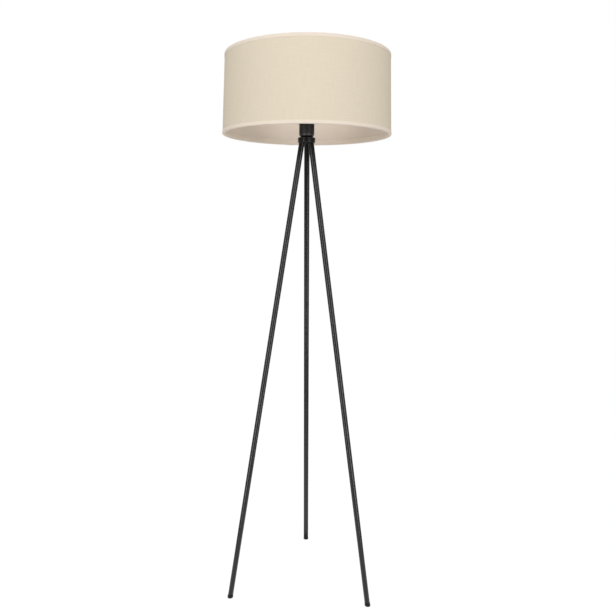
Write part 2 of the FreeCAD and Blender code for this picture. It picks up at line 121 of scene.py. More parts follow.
def new_finish(name):
    """A new material with its node tree and its one surface shader."""
    finish = bpy.data.materials.new(name)
    finish.use_nodes = True
    return finish, finish.node_tree, finish.node_tree.nodes["Principled BSDF"]


def per_metre(size_mm):
    """Texture scale at which one repeat of a pattern has this size."""
    return 1.0 / (size_mm * MM)


print("mid grey 808080 is", round(linear("808080")[0], 3), "in linear light")

# %% [markdown]
# ## Threads and slubs
#
# The cover is a plain weave of cotton and linen, pressed on a stiff sheet. Close up, such cloth is a grid of
# threads with thick and thin places, called slubs, that run along single threads.
#
# An image texture would need a photograph of cloth. Sine waves on the sheet's own lengths do the same with
# no file: the mesh carries those lengths as UVs in metres. Noise that is stretched along one direction gives
# the slubs.

# %% Backs of threads, streaks of slubs
# Real threads lie some 0.6 mm apart, which is too fine to show, so they are drawn twice as far apart.
THREAD_MM = 1.2
SLUB_LENGTH_MM = 40.0
SLUB_WIDTH_MM = 2.2


def thread_backs(tree, across):
    """Rounded backs of parallel threads: 0 in the grooves, 1 on top."""
    turns = add(tree, "Math", {0: across, 1: math.pi * per_metre(THREAD_MM)}, operation="MULTIPLY")
    wave = add(tree, "Math", {0: turns.outputs[0]}, operation="SINE")
    return add(tree, "Math", {0: wave.outputs[0]}, operation="ABSOLUTE").outputs[0]


def slub_streaks(tree, lengths, width_mm, height_mm):
    """Long soft streaks of a size on the cloth."""
    stretch = (per_metre(width_mm), per_metre(height_mm), 1.0)
    placed = add(tree, "Mapping", {"Vector": lengths, "Scale": stretch})
    noise = add(tree, "TexNoise", {"Vector": placed.outputs[0], "Scale": 1.0, "Detail": 2.0})
    return noise.outputs["Fac"]


print("threads every", THREAD_MM, "mm, slubs of", SLUB_LENGTH_MM, "by", SLUB_WIDTH_MM, "mm")

# %% [markdown]
# ## Woven cloth
#
# Cotton and linen scatter the light, so the cloth is rough and hardly shines. From two metres its threads
# melt into an even, matt cream with faint streaks. The tape on the edges is the same weave and a little
# flatter. Its tones are painted a little paler: a painted highlight for the light that its rolled edges
# catch.
#
# A chequer decides where the warp's round back shows and where the weft's does. Slubs run in both directions
# and change the tone as well as the relief, because a thick place in a thread is also a little lighter.

# %% Cotton and linen
UV_NAME = "lengths"
SLUBS_LOW = 0.75
SLUBS_HIGH = 1.25
THREAD_BUMP = 0.5
CLOTH_ROUGHNESS = 0.95
CLOTH_GLOSS = 0.1


def woven(name, dark, light, relief_mm):
    """Matt woven cloth between two tones."""
    finish, tree, shader = new_finish(name)
    lengths = add(tree, "UVMap", {}, uv_map=UV_NAME).outputs[0]
    split = add(tree, "SeparateXYZ", {0: lengths})
    warp = thread_backs(tree, split.outputs["X"])
    weft = thread_backs(tree, split.outputs["Y"])
    on_top = add(tree, "TexChecker", {"Vector": lengths, "Scale": per_metre(THREAD_MM)}).outputs["Fac"]
    threads = add(tree, "Mix", {0: on_top, 2: warp, 3: weft}).outputs[0]
    level = slub_streaks(tree, lengths, SLUB_LENGTH_MM, SLUB_WIDTH_MM)
    upright = slub_streaks(tree, lengths, SLUB_WIDTH_MM, SLUB_LENGTH_MM)
    slubs = add(tree, "Math", {0: level, 1: upright}, operation="ADD").outputs[0]
    tone = add(tree, "MapRange", {"Value": slubs, "From Min": SLUBS_LOW, "From Max": SLUBS_HIGH}).outputs[0]
    cream = add(tree, "Mix", {0: tone, 6: linear(dark), 7: linear(light)}, data_type="RGBA").outputs[2]
    height = add(tree, "Math", {0: threads, 1: slubs}, operation="ADD").outputs[0]
    bump = add(tree, "Bump", {"Height": height, "Distance": relief_mm * MM, "Strength": THREAD_BUMP})
    fill(tree, shader, {
        "Base Color": cream, "Normal": bump.outputs[0],
        "Roughness": CLOTH_ROUGHNESS, "Specular IOR Level": CLOTH_GLOSS,
    })
    return finish


cover_cloth = woven("woven_cotton_linen", "e4d8c1", "e9ddc8", relief_mm=0.1)
# The tape is the cover's own cloth. Its paler tones are a painted highlight for the light that the rolled
# edges catch.
tape_cloth_painted_highlight = woven("woven_cotton_tape_painted_highlight", "efe2d1", "f4e7d8", relief_mm=0.08)
print("cloths:", cover_cloth.name, tape_cloth_painted_highlight.name)

# %% [markdown]
# ## Styrene liner
#
# Behind the cloth lies a sheet of rolled polystyrene, a little over half a millimetre thick. It is a matt
# off-white that spreads the bulb's light, with a fine frost from the roller. Its tones are painted a warmer
# cream than bare styrene: painted light that stands in for the light coming in through the cloth.
#
# One flat colour would look like paint. Two close tones in soft clouds, a hand's width across, and a
# roughness and relief that follow a finer grain keep it from that. Every dull, solid surface of the lamp can
# be made so, with its own tones and sizes, so the recipe is a function.

# %% Rolled polystyrene
CLOUD_MM = 90.0
# The real frost is too fine to show, so it is drawn at this size.
FROST_MM = 3.0
GRAIN_BUMP = 0.4
STYRENE_IOR = 1.59


def speckled(name, dark, light, grain_mm, relief_mm, rough, gloss=0.5, ior=1.5):
    """A dull solid surface: two tones in soft clouds and a fine relief, placed by the piece's own metres."""
    finish, tree, shader = new_finish(name)
    place = add(tree, "TexCoord", {}).outputs["Object"]
    wide_noise = add(tree, "TexNoise", {"Vector": place, "Scale": per_metre(CLOUD_MM), "Detail": 3.0})
    fine_noise = add(tree, "TexNoise", {"Vector": place, "Scale": per_metre(grain_mm), "Detail": 2.0})
    clouds = wide_noise.outputs["Fac"]
    grain = fine_noise.outputs["Fac"]
    tone = add(tree, "Mix", {0: clouds, 6: linear(dark), 7: linear(light)}, data_type="RGBA")
    smoothest, roughest = rough
    dull = add(tree, "MapRange", {"Value": grain, "To Min": smoothest, "To Max": roughest})
    bump = add(tree, "Bump", {"Height": grain, "Distance": relief_mm * MM, "Strength": GRAIN_BUMP})
    fill(tree, shader, {
        "Base Color": tone.outputs[2], "Roughness": dull.outputs[0], "Normal": bump.outputs[0],
        "Specular IOR Level": gloss, "IOR": ior,
    })
    return finish


# The liner's warm cream tones are painted light: they stand in for the light that comes in through the cloth.
liner_sheet = speckled("rolled_polystyrene_painted_light", "e6d7c7", "ebdfd1", FROST_MM, relief_mm=0.05,
                       rough=(0.6, 0.8), gloss=0.2, ior=STYRENE_IOR)
print("liner:", liner_sheet.name)

# %% [markdown]
# ## Black finishes
#
# Legs and hub are steel with a satin black powder coat. The powder melts to a skin with a very slight orange
# peel, a little over a millimetre from crest to crest, which softens each streak of light. The lampholder is
# moulded thermoplastic, a warmer and slightly lighter black, duller, with the fine grain of its mould. The
# glides and the cable bush are nylon, a neutral black that is duller still.
#
# A flat black would hide the roundness of thin tubes. All three come from the recipe of the last cell with
# other tones and sizes, and keep the low gloss of a coat or plastic that isn't polished.

# %% Powder coat, thermoplastic and nylon
PEEL_MM = 1.3
MOULD_GRAIN_MM = 0.7
NYLON_GRAIN_MM = 0.9

powder_coat = speckled("black_powder_coat", "070707", "0b0a0a", PEEL_MM, relief_mm=0.003,
                       rough=(0.24, 0.28), gloss=0.2)
moulding = speckled("moulded_thermoplastic", "161311", "1d1917", MOULD_GRAIN_MM, relief_mm=0.03,
                    rough=(0.38, 0.48), gloss=0.25)
nylon = speckled("moulded_nylon", "131314", "1a1a1b", NYLON_GRAIN_MM, relief_mm=0.03,
                 rough=(0.45, 0.6), gloss=0.2)
print("blacks:", powder_coat.name, moulding.name, nylon.name)

# %% [markdown]
# ## Wire, ceramic and metals
#
# The shade's wires have a white coat, baked on, with a soft shine. The contact block is steatite, a pressed
# ceramic that is left unglazed, so it is chalky and warm. Contacts are brass, stamped and turned, with a
# yellow shine. Screws, studs, inserts and the spring are steel with a thin zinc plate, which is bluish and
# slightly cloudy.
#
# The dull ones again use the same recipe. A metal needs its own: full metallic, its colour in the
# reflection, and a roughness that wanders.

# %% Baked white, steatite, brass and zinc
COAT_GRAIN_MM = 1.5
STEATITE_GRAIN_MM = 0.6
BRASS_CLOUD_MM = 4.0
ZINC_CLOUD_MM = 3.0


def plain_metal(name, dark, light, cloud_mm, rough):
    """Bare or plated metal with soft clouds in tone and polish."""
    finish, tree, shader = new_finish(name)
    place = add(tree, "TexCoord", {}).outputs["Object"]
    noise = add(tree, "TexNoise", {"Vector": place, "Scale": per_metre(cloud_mm), "Detail": 4.0})
    clouds = noise.outputs["Fac"]
    tone = add(tree, "Mix", {0: clouds, 6: linear(dark), 7: linear(light)}, data_type="RGBA")
    smoothest, roughest = rough
    polish = add(tree, "MapRange", {"Value": clouds, "To Min": smoothest, "To Max": roughest})
    fill(tree, shader, {"Base Color": tone.outputs[2], "Roughness": polish.outputs[0], "Metallic": 1.0})
    return finish


white_coat = speckled("baked_white_coat", "e6e3db", "efece5", COAT_GRAIN_MM, relief_mm=0.03,
                      rough=(0.35, 0.5))
steatite = speckled("pressed_steatite", "d9d1c2", "e6dfd2", STEATITE_GRAIN_MM, relief_mm=0.05,
                    rough=(0.7, 0.85))
brass = plain_metal("stamped_brass", "c8a25a", "dcbc78", BRASS_CLOUD_MM, rough=(0.22, 0.4))
zinc_plate = plain_metal("zinc_plated_steel", "b4b8bd", "cdd0d3", ZINC_CLOUD_MM, rough=(0.28, 0.45))
print("other finishes:", white_coat.name, steatite.name, brass.name, zinc_plate.name)

# %% [markdown]
# ## Finishes on the solid pieces
#
# The record of the lamp gives each node a slot, the short name of what it is made of. Each node could be
# dressed by hand, but one table turns slots into finishes for all. A node's shape stays as it is: only its
# material changes.

# %% Dress the solid nodes
finish_of = {
    "black_coat": powder_coat,
    "holder_plastic": moulding,
    "black_nylon": nylon,
    "steatite": steatite,
    "brass": brass,
    "zinc_steel": zinc_plate,
    "white_wire": white_coat,
    "shade_cloth": cover_cloth,
    "binding_cloth": tape_cloth_painted_highlight,
    "liner_sheet": liner_sheet,
}
slot_of = {part["node"]: part["material_slot"] for part in frame["record"]["subparts"]}
for name, node in nodes.items():
    node.data.materials.clear()
    node.data.materials.append(finish_of[slot_of[name]])
print("dressed", len(nodes), "nodes in", len(finish_of), "finishes")

# %% [markdown]
# ## The shade's wall
#
# All cloth parts follow one cone. Its height comes from the boxes of the two bindings, and its slope from the
# two wire rings, which are the same wire at the two ends. A place on the shade is then a depth, measured
# inwards from the cover's face, a height and an angle. The angle starts at the back. The cover, the liner and
# the tapes have their joints there or close by, so that no joint shows from the front.

# %% Places on the wall
BACK = math.pi / 2
cover_low, cover_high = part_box("shade_fabric")
bottom_ring_low, bottom_ring_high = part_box("bottom_ring")
top_ring_low, top_ring_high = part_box("top_ring")
bottom_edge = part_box("bottom_binding")[0].z
top_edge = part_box("top_binding")[1].z
ring_rise = top_ring_low.z - bottom_ring_low.z
wall_slope = (top_ring_high.x - bottom_ring_high.x) / ring_rise


def wall_radius(depth, height):
    """Distance from the axis, at a depth inside the cover's face and a height above the floor."""
    return cover_high.x - depth + wall_slope * (height - cover_low.z)


def on_wall(depth, height, turn):
    """A point of the shade; turn is the angle from the joint at the back."""
    radius = wall_radius(depth, height)
    return Vector((radius * math.cos(BACK + turn), radius * math.sin(BACK + turn), height))


mean_radius = wall_radius(0, (bottom_edge + top_edge) / 2)
print("shade height", round((top_edge - bottom_edge) / MM, 1), "mm")
print("mean radius", round(mean_radius / MM, 1), "mm")

# %% [markdown]
# ## True lengths for the weave
#
# The weave is drawn by real lengths on the cloth, so each mesh needs UVs in metres. Blender's unwrapping
# would fit them into a square. A sheet that is built row by row knows its lengths already: they are added up
# along its middle lane and across its first row.

# %% Lengths as UVs
def run_lengths(points):
    """Distance from the first point along a chain of points."""
    lengths = [0.0]
    for before, after in zip(points, points[1:]):
        lengths.append(lengths[-1] + (after - before).length)
    return lengths


def lay_out(mesh, rows):
    """Write UVs in metres; the face that joins the last lane to the first ends at the full length."""
    along = run_lengths([row[len(row) // 2] for row in rows])
    across = run_lengths(rows[0] + rows[0][:1])
    width = len(rows[0])
    layer = mesh.uv_layers.new(name=UV_NAME)
    for face in mesh.polygons:
        lanes = [mesh.loops[corner].vertex_index % width for corner in face.loop_indices]
        wraps = len(lanes) == 4 and max(lanes) - min(lanes) > 1
        for corner, lane in zip(face.loop_indices, lanes):
            row = mesh.loops[corner].vertex_index // width
            column = width if wraps and lane == 0 else lane
            layer.data[corner].uv = (along[row], across[column])


chain = [Vector((x, 0, 0)) for x in range(3)]
print("a chain of three points, each 1 m from the next, measures", run_lengths(chain)[-1], "m")

# %% [markdown]
# ## Skinning rows of points
#
# A sheet that goes round a cone and laps over itself is no simple turned body: its end has to climb over its
# start. So each cloth part is skinned through rows of points, one row for each step round the shade. The same
# function closes the section of a thick piece and caps its two ends. Soft bends shade smoothly, and edges
# past a set angle stay crisp.

# %% Skin through rows
SHARP_ANGLE = math.radians(40)


def skin(name, rows, closed=False):
    """A smooth mesh through rows of points; a closed section is capped at both ends."""
    width = len(rows[0])
    faces = []
    lanes = width if closed else width - 1
    for row in range(len(rows) - 1):
        for lane in range(lanes):
            here = row * width + lane
            beside = row * width + (lane + 1) % width
            faces.append((here, here + width, beside + width, beside))
    if closed:
        faces.append(tuple(range(width)))
        faces.append(tuple(reversed(range((len(rows) - 1) * width, len(rows) * width))))
    mesh = bpy.data.meshes.new(name)
    mesh.from_pydata([point for row in rows for point in row], [], faces)
    lay_out(mesh, rows)
    mesh.shade_smooth()
    mesh.set_sharp_from_angle(angle=SHARP_ANGLE)
    piece = bpy.data.objects.new(name, mesh)
    bpy.context.scene.collection.objects.link(piece)
    return piece


print("edges stay crisp past", round(math.degrees(SHARP_ANGLE)), "degrees")

# %% [markdown]
# ## Cover and liner
#
# The maker cuts cloth and liner as one long curved strip each, rolls it up and glues the end over the start.
# A cone of two faces would look right from the front, but the back would miss its seam. Here each strip runs
# once round and a seam's width further, and climbs by its own thickness just before it meets its start: the
# cover outwards, the liner inwards. Its section is a thin rectangle, so the cut edges stay crisp.

# %% Roll the strips
COVER_T = 0.6 * MM
LINER_T = 0.6 * MM
SEAM = 12.0 * MM
CLIMB = 9.0 * MM
# A lapped end climbs a little more than a thickness, so that the two layers stay apart.
STRIP_CLIMB_SHARE = 1.05
COVER_CLIMB = COVER_T * STRIP_CLIMB_SHARE
LINER_CLIMB = -LINER_T * STRIP_CLIMB_SHARE
STEPS_ROUND = 360
cut_setback = cover_low.z - bottom_edge
cut_low = bottom_edge + cut_setback
cut_high = top_edge - cut_setback
liner_depth = cover_high.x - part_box("shade_liner")[1].x


def eased(share):
    """Smooth step from 0 to 1."""
    share = min(max(share, 0.0), 1.0)
    return share * share * (3 - 2 * share)


def rolled_strip(name, depth, thickness, climb_by):
    """A sheet once round the shade, with its end lapped over its start at the back."""
    full = 2 * math.pi + SEAM / mean_radius
    rows = []
    for step in range(STEPS_ROUND + 1):
        turn = full * step / STEPS_ROUND
        to_lap = (2 * math.pi - turn) * mean_radius
        face = depth - climb_by * eased(1 - to_lap / CLIMB)
        inside = face + thickness
        corners = ((face, cut_low), (face, cut_high), (inside, cut_high), (inside, cut_low))
        rows.append([on_wall(*corner, turn - SEAM / mean_radius / 2) for corner in corners])
    return skin(name, rows, closed=True)


cover = rolled_strip("shade_cover", 0.0, COVER_T, COVER_CLIMB)
cover.data.materials.append(cover_cloth)
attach(cover, "shade")
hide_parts("shade_fabric")

liner = rolled_strip("shade_lining", liner_depth, LINER_T, LINER_CLIMB)
liner.data.materials.append(liner_sheet)
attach(liner, "shade")
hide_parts("shade_liner")
print("strips:", cover.name, len(cover.data.vertices), liner.name, len(liner.data.vertices))

# %% [markdown]
# ## Rolled tape on both edges
#
# A woven tape hides the cut edges. It is glued down on the outside, turned over the edge and the wire ring,
# and tucked against the liner inside.
#
# A curve with a bevel would give an even tape, but no puckers and no lapped ends. So the tape's section is
# drawn once, as straight stretches with soft corners, in depth and in inset from the shade's edge. The next
# cells repeat it round the shade with small changes.

# %% Section of the tape
TAPE_T = 0.5 * MM
OUTER_FLAP = 8.5 * MM
INNER_FLAP = 15.0 * MM
GLUE = 0.05 * MM
BULGE = 0.35 * MM
OUTER_SOFT = 2.2 * MM
INNER_SOFT = 2.0 * MM
FLAP_STEPS = 6
wire_r = (bottom_ring_high.z - bottom_ring_low.z) / 2
bottom_ring_z = bottom_ring_low.z + wire_r
bottom_ring_r = bottom_ring_high.x - wire_r
ring_depth = wall_radius(0, bottom_ring_z) - bottom_ring_r
ring_inset = bottom_ring_z - bottom_edge
inside_depth = liner_depth + LINER_T + GLUE + TAPE_T / 2


def soft_corner(before, corner, after, setback, steps=6):
    """Points round a corner that starts and ends a setback away from it."""
    start = corner + (before - corner).normalized() * setback
    end = corner + (after - corner).normalized() * setback
    shares = [step / steps for step in range(steps + 1)]
    return [
        start * (1 - share) ** 2 + corner * 2 * share * (1 - share) + end * share ** 2
        for share in shares
    ]


def tape_section():
    """Middle line of the tape, from its outer edge round the wire to its tucked edge."""
    roll_r = ring_inset - TAPE_T / 2
    corners = [
        Vector((-GLUE - TAPE_T / 2, OUTER_FLAP)),
        Vector((-BULGE - TAPE_T / 2, TAPE_T / 2)),
        Vector((ring_depth + roll_r, TAPE_T / 2)),
        Vector((ring_depth + roll_r, ring_inset + roll_r)),
        Vector((inside_depth, INNER_FLAP)),
    ]
    line = [corners[0].lerp(corners[1], step / FLAP_STEPS) for step in range(FLAP_STEPS - 1)]
    for place, setback in enumerate((OUTER_SOFT, roll_r, INNER_SOFT)):
        line += soft_corner(*corners[place:place + 3], setback)
    tuck = line[-1]
    return line + [tuck.lerp(corners[-1], step / FLAP_STEPS) for step in range(1, FLAP_STEPS + 1)]


tape_line = tape_section()
tape_width = run_lengths(tape_line)[-1]
print("tape section:", len(tape_line), "points,", round(tape_width / MM, 1), "mm wide when flat")

# %% [markdown]
# ## Puckers and lifts
#
# The circle inside the shade is shorter than the tape, so the tucked flap gathers in small puckers. Where the
# tape passes over the cover's seam, the seam lifts it a little.
#
# A displace modifier with noise would push the flap into the liner as often as away from it. A few sine waves
# with random but fixed phases are cut off at zero instead, so the flap only ever lifts off. Each tape gets
# phases of its own, so the two edges differ.

# %% Rules for puckers and lifts
PUCKER = 0.5 * MM
PUCKERS_ROUND = (61, 83, 107)
# Share of a pucker that the crest of each wave adds.
WAVE_SHARE = 0.5
PUCKER_SEED = 7
chance = random.Random(PUCKER_SEED)


def puckers():
    """Draw the phases for one tape and return its rule, which gives the lift of its flap at an angle."""
    waves = [(count, chance.uniform(0, 2 * math.pi)) for count in PUCKERS_ROUND]

    def lift_at(turn):
        height = sum(math.sin(count * turn + phase) for count, phase in waves)
        return PUCKER * max(0.0, WAVE_SHARE * height)

    return lift_at


def over_seam(turn):
    """How far the tape is lifted where it passes over the cover's seam."""
    from_seam = abs(math.remainder(turn, 2 * math.pi)) * mean_radius
    return COVER_CLIMB * eased((SEAM / 2 + CLIMB - from_seam) / CLIMB)


print("the seam lifts the tape by up to", round(over_seam(0.0) / MM, 2), "mm")

# %% [markdown]
# ## Wrapping the tapes
#
# A tape is cut a little longer than the edge, and its end is glued over its start, some 60 mm from the
# cover's seam, because two joints in one place would make a lump. A solidify modifier could give it its
# thickness, but not a lift that changes on the way round. So each section is drawn at its own angle with its
# own lift and puckers, both faces of the tape at once, and the skin joins the sections.

# %% Wrap the tapes
TAPE_JOINT = math.radians(15)
TAPE_LAP = 15.0 * MM
TAPE_CLIMB_SHARE = 1.1
TAPE_CLIMB = TAPE_T * TAPE_CLIMB_SHARE
TAPE_STEPS = STEPS_ROUND * 2
# The tucked flap starts about where the roll round the wire ends.
tuck_start = 2 * ring_inset


def tape_row(turn, lift, pucker, at_top):
    """One closed section of the tape at an angle."""
    outer_side = []
    inner_side = []
    for place, point in enumerate(tape_line):
        ahead = tape_line[min(place + 1, len(tape_line) - 1)] - tape_line[max(place - 1, 0)]
        away = Vector((-ahead.y, ahead.x)).normalized()
        tucked = max(0.0, (point.y - tuck_start) / (INNER_FLAP - tuck_start))
        gathered = pucker(turn) * (tucked if place > len(tape_line) / 2 else 0.0)
        shifted = point - away * (lift + gathered)
        for side, distance in ((outer_side, -TAPE_T / 2), (inner_side, TAPE_T / 2)):
            depth, inset = shifted + away * distance
            height = top_edge - inset if at_top else bottom_edge + inset
            side.append(on_wall(depth, height, turn + TAPE_JOINT))
    return outer_side + inner_side[::-1]


def wrapped_tape(name, node, at_top):
    """A tape once round an edge of the shade, with its end lapped over its start."""
    pucker = puckers()
    full = 2 * math.pi + TAPE_LAP / mean_radius
    rows = []
    for step in range(TAPE_STEPS + 1):
        turn = full * step / TAPE_STEPS
        to_lap = (2 * math.pi - turn) * mean_radius
        lift = TAPE_CLIMB * eased(1 - to_lap / CLIMB) + over_seam(turn + TAPE_JOINT)
        rows.append(tape_row(turn, lift, pucker, at_top))
    tape = skin(name, rows, closed=True)
    tape.data.materials.append(tape_cloth_painted_highlight)
    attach(tape, "shade")
    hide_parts(node)
    return tape


top_tape = wrapped_tape("top_tape", "top_binding", at_top=True)
bottom_tape = wrapped_tape("bottom_tape", "bottom_binding", at_top=False)
print("tapes:", len(top_tape.data.vertices), "and", len(bottom_tape.data.vertices), "points")

# %% [markdown]
# ## Slits for the spokes
#
# The three spokes come out through slits in the bottom tape. Deleting faces there would leave ragged holes.
# Each slit is a Boolean cut instead, with a round bar that follows the spoke's slope and leaves a little
# room. The result is kept as the mesh, and the bars are removed.

# %% Cut the slits
SPOKES = 3
SPOKE_BEND_IN = 30.0 * MM
SLIT_ROOM = 0.3 * MM
# Share of the spoke's sloping end that the bar covers, enough to pass through the tape.
SLIT_REACH = 0.6
spoke_low, spoke_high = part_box("spoke_rear")
spoke_r = (spoke_high.x - spoke_low.x) / 2
spoke_bend = Vector((bottom_ring_r - SPOKE_BEND_IN, 0, spoke_high.z - spoke_r))
spoke_foot = Vector((bottom_ring_r, 0, bottom_ring_z))


def slit_bar(spoke_angle, sides=24):
    """Round bar along the sloping end of a spoke."""
    slope = spoke_bend - spoke_foot
    level = Vector((0, 1, 0))
    steep = slope.cross(level).normalized()
    turned = Matrix.Rotation(spoke_angle, 3, "Z")
    circle = [2 * math.pi * side / sides for side in range(sides)]
    ring = [(level * math.cos(angle) + steep * math.sin(angle)) * (spoke_r + SLIT_ROOM) for angle in circle]
    ends = (spoke_foot, spoke_foot + slope * SLIT_REACH)
    return skin("slit_bar", [[turned @ (end + point) for point in ring] for end in ends], closed=True)


def cut_slits(tape, bars):
    """Take the bars out of a tape and keep the result as its mesh."""
    for bar in bars:
        cut = tape.modifiers.new("slit", "BOOLEAN")
        cut.object = bar
        cut.solver = "EXACT"
    done = tape.evaluated_get(bpy.context.evaluated_depsgraph_get())
    mesh = bpy.data.meshes.new_from_object(done)
    tape.modifiers.clear()
    tape.data = mesh
    for bar in bars:
        bpy.data.objects.remove(bar)


cut_slits(bottom_tape, [slit_bar(BACK + 2 * math.pi * spoke / SPOKES) for spoke in range(SPOKES)])
print("bottom tape after the slits:", len(bottom_tape.data.vertices), "points")

# %% [markdown]
# ## Cut of the cover
#
# The cover is cut as a strip off a very flat ring, because the shade is a cone. Unrolled, the cone's slant
# becomes the ring's radius and its girth an arc, and the box around that arc is the piece of cloth that the
# maker needs.

# %% [markdown]
# ## Screw threads
#
# Above the shade ring the lampholder shows its outer thread, and the bore has the round thread that takes the
# bulb. Bump could fake them, but their outline shows against the light, so each is a ridge with a rounded
# back, skinned along a helix. The ridge grows from almost nothing at its start and fades at its end, as a
# moulded thread does, and its foot is sunk a little into the wall.

# %% Ridge of a thread
SUNK = 0.1 * MM
RIDGE_STEPS = 8
# Half the ridge's foot as a share of the pitch, which leaves a groove between two turns.
RIDGE_HALF = 0.36
STEPS_A_TURN = 72
# Turns in which the ridge grows and fades, and the share of its height that it starts from.
FADE_TURNS = 0.3
FADED = 0.02


def ridge_section(share, rise, half_width, radius):
    """Rounded ridge in radius and height, at a share of its full size; a negative rise points inwards."""
    foot = -SUNK if rise > 0 else SUNK
    arc = [math.pi * step / RIDGE_STEPS for step in range(RIDGE_STEPS + 1)]
    ridge = [(radius + rise * share * math.sin(angle), -half_width * math.cos(angle)) for angle in arc]
    section = ridge + [(radius + foot, half_width), (radius + foot, -half_width)]
    return section if rise > 0 else section[::-1]


def screw_thread(name, radius, rise, pitch, low, high):
    """A thread from one height to another, standing out from a wall of a radius."""
    half_width = pitch * RIDGE_HALF
    turns = (high - low - 2 * half_width) / pitch
    rows = []
    for step in range(round(turns * STEPS_A_TURN) + 1):
        turn = step / STEPS_A_TURN
        share = FADED + (1 - FADED) * eased(min(turn, turns - turn) / FADE_TURNS)
        middle_z = low + half_width + pitch * turn
        spin = Matrix.Rotation(2 * math.pi * turn, 3, "Z")
        section = ridge_section(share, rise, half_width, radius)
        rows.append([spin @ Vector((out, 0, middle_z + up)) for out, up in section])
    thread = skin(name, rows, closed=True)
    thread.data.materials.append(moulding)
    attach(thread, "stand")
    return thread


print("a ridge has", len(ridge_section(1.0, MM, MM, MM)), "points in its section")

# %% [markdown]
# ## The lampholder's two threads
#
# The outer thread is a fine one, so that the shade ring clamps well. The inner one is the coarse, round
# thread of a common screw-in bulb, 27 mm wide. Both stop short of the ends of their walls, because a mould
# needs a plain rim there. The heights come from the nodes and from the socket that the record describes.

# %% Wind the threads
RING_THREAD_R = 19.3 * MM
RING_THREAD_PITCH = 2.5 * MM
RING_THREAD_RISE = 0.45 * MM
ABOVE_RING = 0.4 * MM
RING_RIM = 1.0 * MM
BULB_THREAD_PITCH = 3.63 * MM
BULB_THREAD_RISE = 1.0 * MM
ABOVE_BORE = 2.0 * MM
BULB_RIM = 1.5 * MM
socket = next(mount for mount in frame["record"]["mounts"] if mount["name"] == "bulb_socket")
bore_r = socket["dims"]["r_mm"] * MM
bore_length = socket["dims"]["length_mm"] * MM
holder_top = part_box("holder_shell")[1].z
ring_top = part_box("shade_ring")[1].z

ring_thread = screw_thread("ring_thread", RING_THREAD_R, RING_THREAD_RISE, RING_THREAD_PITCH,
                           ring_top + ABOVE_RING, holder_top - RING_RIM)
bulb_thread = screw_thread("bulb_thread", bore_r, -BULB_THREAD_RISE, BULB_THREAD_PITCH,
                           holder_top - bore_length + ABOVE_BORE, holder_top - BULB_RIM)
print("threads:", len(ring_thread.data.vertices), "and", len(bulb_thread.data.vertices), "points")

# %% [markdown]
# ## Contact spring
#
# Under the brass plunger sits a small coil of steel wire, which gives way when a bulb is screwed in. A solid
# that keeps its height would stick through the plunger's head when it sinks. Here the coil is wound anew at
# its rest height, with the wire's section along a helix, and it rides on the stand.

# %% Wind the spring
SPRING_TURNS = 3
SPRING_WIRE_R = 0.3 * MM
coil_low, coil_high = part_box("contact_spring")
coil_height = coil_high.z - coil_low.z
coil_r = coil_high.x - SPRING_WIRE_R
coil_rise = coil_height - 2 * SPRING_WIRE_R


def wire_section(turn, sides=16):
    """Circle of the spring's wire after a number of turns."""
    middle_z = coil_low.z + SPRING_WIRE_R + coil_rise * turn / SPRING_TURNS
    spin = Matrix.Rotation(2 * math.pi * turn, 3, "Z")
    circle = [2 * math.pi * side / sides for side in range(sides)]
    flat = [(SPRING_WIRE_R * math.cos(angle), SPRING_WIRE_R * math.sin(angle)) for angle in circle]
    return [spin @ Vector((coil_r + out, 0, middle_z + up)) for out, up in flat]


coil_steps = SPRING_TURNS * STEPS_A_TURN
coil = skin("coil_spring", [wire_section(step / STEPS_A_TURN) for step in range(coil_steps + 1)], closed=True)
coil.data.materials.append(zinc_plate)
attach(coil, "stand")
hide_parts("contact_spring")
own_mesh(coil)

# %% [markdown]
# ## White room
#
# The lamp stands in a white studio. Most of its light comes from all round, so the shade darkens only gently
# to its sides. Many lights could do that, but a world of even light is simpler and leaves less noise.
#
# To the camera, and in reflections, the room is plain white. The Light Path node tells those rays from the
# ones that light the lamp, so the white costs no extra light on it. The Standard view shows each colour as it
# is written.

# %% Room
FILL_LIGHT = 0.565
ROOM_WHITE = 1.0


def looked_at(tree):
    """1 for rays from the camera and for those in reflections and glass, else 0."""
    path = add(tree, "LightPath", {}).outputs
    shown = add(tree, "Math", {0: path["Is Camera Ray"], 1: path["Is Glossy Ray"]}, operation="MAXIMUM")
    either = add(tree, "Math", {0: shown.outputs[0], 1: path["Is Transmission Ray"]}, operation="MAXIMUM")
    return either.outputs[0]


room = bpy.data.worlds.new("white_room")
room.use_nodes = True
room_tree = room.node_tree
lit = add(room_tree, "Background", {"Color": linear("ffffff"), "Strength": FILL_LIGHT})
seen = add(room_tree, "Background", {"Color": linear("ffffff"), "Strength": ROOM_WHITE})
both = add(room_tree, "MixShader", {0: looked_at(room_tree), 1: lit.outputs[0], 2: seen.outputs[0]})
fill(room_tree, room_tree.nodes["World Output"], {"Surface": both.outputs[0]})
bpy.context.scene.world = room
bpy.context.scene.view_settings.view_transform = "Standard"
print("room lights at", FILL_LIGHT, "and shows at", ROOM_WHITE)

# %% [markdown]
# ## Paper floor
#
# The floor is a wide sheet of matt white paper. Plain paper would come out grey beside the white room, and
# paper that only glows would lose the lamp's shadow. So to the camera most of its brightness is glow, and a
# share stays real, lit paper, in which the soft shadow shows.

# %% Floor
FLOOR_SIZE = 12.0
FLOOR_GLOW = 0.8
FLOOR_WHITE = 1.13
# The paper lies a hair under the glides, so that no two faces share one place.
FLOOR_DROP = 0.2 * MM

